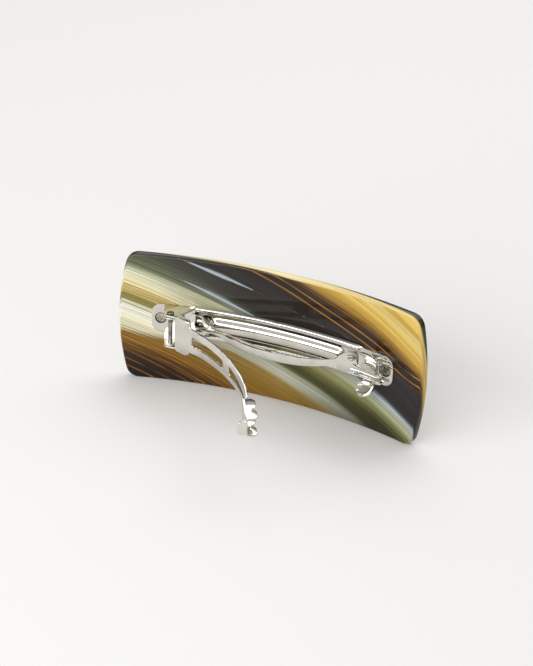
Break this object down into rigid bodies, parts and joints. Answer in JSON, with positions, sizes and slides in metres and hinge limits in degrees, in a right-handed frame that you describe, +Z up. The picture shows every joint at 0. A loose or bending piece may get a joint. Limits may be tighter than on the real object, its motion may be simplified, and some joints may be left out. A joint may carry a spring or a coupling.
{
  "type": "barrette",
  "caption": "Curved rectangular acetate barrette standing on its long edge, with a sprung metal clip open on its hollow side.",
  "frame": {"origin": "middle of the plate's lower long edge, half way through its thickness at mid length; the edge it stands on is z = 0", "axes": "+X along the plate from the hinge end to the catch end, -Y towards the hollow side with the clip, +Z up"},
  "size_m": [0.1004, 0.0585, 0.042],
  "materials": {
    "acetate": "polished horn-pattern cellulose acetate",
    "plated_steel": "bright nickel-plated steel strip",
    "screw_steel": "bright nickel-plated",
    "pin_steel": "headed over, plain",
    "spring_steel": "bright nickel-plated spring strip"
  },
  "bodies": {
    "plate": {"acetate_plate": "acetate", "clip_base": "plated_steel", "clip_screws": "screw_steel", "hinge_pin": "pin_steel", "tension_bow": "spring_steel", "catch_foot": "spring_steel"},
    "arm": {"closing_arm": "plated_steel"},
    "leaf_upper": {"catch_leaf_upper": "spring_steel"},
    "leaf_lower": {"catch_leaf_lower": "spring_steel"}
  },
  "joints": [
    {"name": "arm_hinge", "type": "hinge", "parent": "plate", "child": "arm", "pos_m": [-0.03042, -0.01247, 0.0216], "axis": [0, 0, 1], "range_deg": [0, 41.5], "deforming": ["tension_bow"]},
    {"name": "leaf_upper_squeeze", "type": "hinge", "parent": "plate", "child": "leaf_upper", "pos_m": [0.03256, -0.0065, 0.0248], "axis": [0.9734, -0.229, 0], "range_deg": [0, 3], "stiffness_Nm_per_rad": 0.3},
    {"name": "leaf_lower_squeeze", "type": "hinge", "parent": "plate", "child": "leaf_lower", "pos_m": [0.03256, -0.0065, 0.0184], "axis": [0.9734, -0.229, 0], "range_deg": [-3, 0], "stiffness_Nm_per_rad": 0.3}
  ]
}
